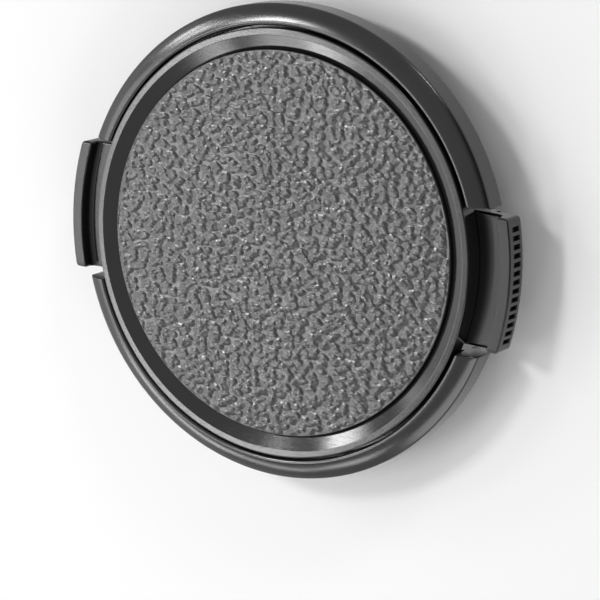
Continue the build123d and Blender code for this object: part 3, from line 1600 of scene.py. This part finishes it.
@dataclass
class ReturnSpring:
    """A small coil spring between the post and a lever's tongue."""

    levels: Levels
    side: Side
    finish: DrawnSteel
    coil_radius: float = 1.07
    wire_radius: float = 0.178
    turns: float = 4.0
    travel: float = 1.8
    turn_steps: int = 40
    wire_steps: int = 14

    def coil(self) -> Graph:
        """Builds the tree that winds a round wire into a coil along X.

        Returns:
            The tree's graph.
        """
        sizes = {"Turns": 4.0, "Length": 0.006, "Coil Radius": 0.001, "Wire Radius": 0.0002}
        graph, start = geometry_graph("wound_wire", sizes)
        given = start.outputs
        line = graph.node(
            "GeometryNodeCurveSpiral",
            Resolution=self.turn_steps,
            Rotations=given["Turns"],
            Start_Radius=given["Coil Radius"],
            End_Radius=given["Coil Radius"],
            Height=given["Length"],
        )
        wire = graph.node(
            "GeometryNodeCurvePrimitiveCircle",
            Resolution=self.wire_steps,
            Radius=given["Wire Radius"],
        )
        swept = graph.node(
            "GeometryNodeCurveToMesh",
            Curve=line.outputs[0],
            Profile_Curve=wire.outputs[0],
            Fill_Caps=True,
        )
        along_x = (0.0, math.pi / 2.0, 0.0)
        laid = graph.node("GeometryNodeTransform", Geometry=swept.outputs[0], Rotation=along_x)
        geometry_end(graph, start, laid.outputs[0])
        return graph

    def build(self) -> list[Obj]:
        """Builds and dresses the spring.

        Returns:
            Its pieces.
        """
        size = self.levels
        ends = 2.0 * self.wire_radius
        length = size.seat_x - size.post_x
        spring = Draft().piece(f"coil_{self.side.spring}")
        values = {
            "Turns": self.turns,
            "Length": (length - ends) * MM,
            "Coil Radius": self.coil_radius * MM,
            "Wire Radius": self.wire_radius * MM,
            "Material": self.finish.material(),
        }
        run_tree(spring, self.coil(), values)
        place = Vector(((size.post_x + self.wire_radius) * MM, 0.0, size.spring_z * MM))
        spring.data.transform(self.side.turn @ Matrix.Translation(place))
        smooth(spring)
        dress(spring, "cap", [self.side.spring])
        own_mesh(spring)
        return [spring]


@dataclass(frozen=True)
class Softbox:
    """A soft studio light, as the cap sees it.

    Attributes:
        name: Name of the light.
        azimuth: Its direction in plan, in degrees from X.
        elevation: Its height above the floor, in degrees.
        width: Its spread across, in degrees.
        height: Its spread upwards, in degrees.
        brightness: Its brightness, where 1 is a lit white wall.
        distance: Its distance in metres.
    """

    name: str
    azimuth: float
    elevation: float
    width: float
    height: float
    brightness: float
    distance: float = 1.0

    def build(self) -> None:
        """Sets the light up, so that it shines at the middle of the floor."""
        lamp = bpy.data.lights.new(self.name, "AREA")
        lamp.shape = "RECTANGLE"
        lamp.size = 2.0 * self.distance * math.tan(math.radians(self.width / 2.0))
        lamp.size_y = 2.0 * self.distance * math.tan(math.radians(self.height / 2.0))
        lamp.energy = math.pi * lamp.size * lamp.size_y * self.brightness
        across, up = math.radians(self.azimuth), math.radians(self.elevation)
        way = Vector((math.cos(up) * math.cos(across), math.cos(up) * math.sin(across), math.sin(up)))
        obj = stood(self.name, lamp)
        obj.location = way * self.distance
        obj.rotation_mode = "QUATERNION"
        obj.rotation_quaternion = way.to_track_quat("Z", "Y")
        obj.visible_camera = False


@dataclass
class Studio:
    """Camera, lights, pale floor and surroundings, in metres.

    Attributes:
        eye: Place of the camera.
        right: The picture's direction to the right.
        up: The picture's direction upwards.
        lens: Focal length, in millimetres.
        sensor: Width of the sensor, in millimetres.
        near: Nearest distance that the camera sees.
        floor_colour: Colour of the floor.
        floor_reach: Half the floor's width.
        floor_drop: How far the floor lies below the cap.
        mirrored_floor: Brightness of the floor in reflections, as a share of its colour.
        surround: Brightness of the room as a light.
        backdrop: Brightness of the room as the camera and reflections see it.
        flag_colour: Colour of the black card.
        flag_turn: Its direction in plan, in degrees from X.
        flag_half: Half its width.
        flag_away: Its distance.
        flag_heights: Heights of its lower and its upper edge.
        lights: The softboxes.
    """

    eye: Triple = (0.1873, 0.0837, 0.3173)
    right: Triple = (0.85096, 0.06228, -0.52157)
    up: Triple = (-0.17877, 0.96805, -0.17604)
    lens: float = 174.0
    sensor: float = 36.0
    near: float = 0.01
    floor_colour: Triple = (0.9, 0.9, 0.9)
    floor_reach: float = 4.0
    floor_drop: float = 0.00005
    mirrored_floor: float = 0.7
    surround: float = 0.2
    backdrop: float = 0.5
    flag_colour: Triple = (0.01, 0.01, 0.01)
    flag_turn: float = 20.0
    flag_half: float = 0.45
    flag_away: float = 0.5
    flag_heights: Pair = (0.02, 0.45)
    lights: Sequence[Softbox] = (
        Softbox("key_low", 156.5, 21.0, 9.0, 6.0, 17.0),
        Softbox("key_bar", 157.0, 27.2, 9.0, 5.4, 4.0),
        Softbox("key_middle", 158.0, 32.6, 9.0, 5.4, 17.0),
        Softbox("key_high", 147.0, 49.5, 10.0, 10.0, 28.0),
        Softbox("left_top", 189.0, 56.2, 18.0, 4.6, 10.0),
        Softbox("left_top_end", 211.0, 53.8, 10.0, 4.8, 9.0),
        Softbox("left_wall", 196.0, 33.0, 44.0, 30.0, 2.4),
        Softbox("left_low", 190.0, 8.0, 80.0, 14.0, 0.55),
        Softbox("left_ceiling", 203.0, 68.0, 60.0, 18.0, 0.8),
        Softbox("front_low", 222.0, 17.0, 20.0, 6.0, 8.0),
        Softbox("front_middle", 240.0, 22.0, 18.0, 8.0, 4.0),
        Softbox("front_high", 258.0, 31.0, 14.0, 9.0, 5.5),
        Softbox("right_edge", 66.0, 20.0, 9.0, 9.0, 16.0),
        Softbox("right_fill", 310.0, 25.0, 56.0, 25.0, 2.4),
    )

    def camera(self) -> None:
        """Sets the camera up at the picture's viewing angle."""
        camera = bpy.data.cameras.new("camera")
        camera.lens = self.lens
        camera.sensor_width = self.sensor
        camera.clip_start = self.near
        right = Vector(self.right).normalized()
        back = right.cross(Vector(self.up)).normalized()
        turned = Matrix((right, back.cross(right), back)).transposed().to_4x4()
        obj = stood("camera", camera)
        obj.matrix_world = Matrix.Translation(Vector(self.eye)) @ turned
        bpy.context.scene.camera = obj

    @staticmethod
    def sheet(name: str, corners: Sequence[Sequence[float]], material: bpy.types.Material) -> Obj:
        """Makes a flat four-sided sheet.

        Args:
            name: Name of the sheet.
            corners: Its corners, in order.
            material: Its material.

        Returns:
            The sheet.
        """
        mesh = bpy.data.meshes.new(name)
        mesh.from_pydata(corners, [], [(0, 1, 2, 3)])
        mesh.materials.append(material)
        return stood(name, mesh)

    def floor(self) -> None:
        """Lays a pale floor that can't be seen from below."""
        material = bpy.data.materials.new("pale_floor")
        graph = blank(material)
        colour = (*self.floor_colour, 1.0)
        pale = graph.node("ShaderNodeBsdfDiffuse", Color=colour)
        white = graph.node("ShaderNodeEmission", Color=colour, Strength=self.mirrored_floor)
        clear = graph.node("ShaderNodeBsdfTransparent")
        path = graph.node("ShaderNodeLightPath").outputs
        mirrored = graph.math("MAXIMUM", path["Is Glossy Ray"], path["Is Transmission Ray"])
        behind = graph.node("ShaderNodeNewGeometry").outputs["Backfacing"]
        seen = pale
        for factor, other in ((mirrored, white), (behind, clear)):
            mixed = graph.node("ShaderNodeMixShader", Fac=factor)
            graph.feed(mixed.inputs[1], seen.outputs[0])
            graph.feed(mixed.inputs[2], other.outputs[0])
            seen = mixed
        graph.node("ShaderNodeOutputMaterial", Surface=seen.outputs[0])
        reach, low = self.floor_reach, -self.floor_drop
        corners = [(-reach, -reach, low), (reach, -reach, low), (reach, reach, low), (-reach, reach, low)]
        floor = self.sheet("floor", corners, material)

    def flag(self) -> None:
        """Stands a black card at the right, which only reflections show."""
        material = bpy.data.materials.new("black_card")
        graph = blank(material)
        card = graph.node("ShaderNodeBsdfDiffuse", Color=(*self.flag_colour, 1.0))
        graph.node("ShaderNodeOutputMaterial", Surface=card.outputs[0])
        turn = Matrix.Rotation(math.radians(self.flag_turn), 4, "Z")
        low, high = self.flag_heights
        corners = []
        for side, height in ((-1.0, low), (1.0, low), (1.0, high), (-1.0, high)):
            corners.append(turn @ Vector((self.flag_away, side * self.flag_half, height)))
        flag = self.sheet("black_flag", corners, material)
        flag.visible_camera = False
        flag.visible_diffuse = False
        flag.visible_shadow = False
        flag.visible_transmission = False

    def world(self) -> None:
        """Surrounds the cap with a dim room that the camera and reflections see as a pale backdrop."""
        world = bpy.data.worlds.new("room")
        graph = blank(world)
        path = graph.node("ShaderNodeLightPath").outputs
        seen = path["Is Camera Ray"]
        for kind in ("Is Glossy Ray", "Is Transmission Ray"):
            seen = graph.math("MAXIMUM", seen, path[kind])
        strength = graph.ramp(seen, 0.0, 1.0, self.surround, self.backdrop)
        light = graph.node("ShaderNodeBackground", Color=(1.0, 1.0, 1.0, 1.0), Strength=strength)
        graph.node("ShaderNodeOutputWorld", Surface=light.outputs[0])
        bpy.context.scene.world = world

    def build(self) -> None:
        """Sets the whole studio up."""
        self.camera()
        self.floor()
        self.flag()
        self.world()
        for light in self.lights:
            light.build()
        bpy.context.scene.view_settings.view_transform = "Standard"


def report(piece: Obj) -> None:
    """Logs a piece's name and size.

    Args:
        piece: The piece.
    """
    triangles = sum(len(face.vertices) - 2 for face in piece.data.polygons)
    net = bmesh.new()
    net.from_mesh(piece.data)
    loose = sum(not edge.is_manifold for edge in net.edges)
    net.free()
    LOG.info("%s: %d triangles, %d open edges", piece.name, triangles, loose)


def main() -> None:
    """Builds every sub-assembly in order, logs each piece's size and lights it."""
    logging.basicConfig(level=logging.INFO, format="%(message)s")
    levels = Levels.from_frame()
    black = MouldedPlastic("satin_black", (0.012, 0.012, 0.0125), roughness=0.2)
    rim_black = MouldedPlastic("rim_black", (0.009, 0.009, 0.0095), roughness=0.13)
    lever_black = MouldedPlastic(
        "lever_black",
        (0.009, 0.009, 0.0095),
        roughness=0.24,
        rubbed=0.03,
        relief=0.0015,
        specular=0.52,
    )
    grained = GrainedPlastic("grained_black", (0.031, 0.031, 0.0325), roughness=0.2, specular=0.7)
    steel = DrawnSteel("spring_wire", (0.6, 0.6, 0.6), roughness=0.22)
    assemblies: list[CapBody | FrontCover | PinchLever | ReturnSpring] = [
        CapBody(levels, black),
        FrontCover(levels, rim_black, grained),
    ]
    for side in Side:
        assemblies += [PinchLever(levels, side, lever_black), ReturnSpring(levels, side, steel)]
    for assembly in assemblies:
        for piece in assembly.build():
            report(piece)
    Studio().build()


if __name__ == "__main__":
    main()
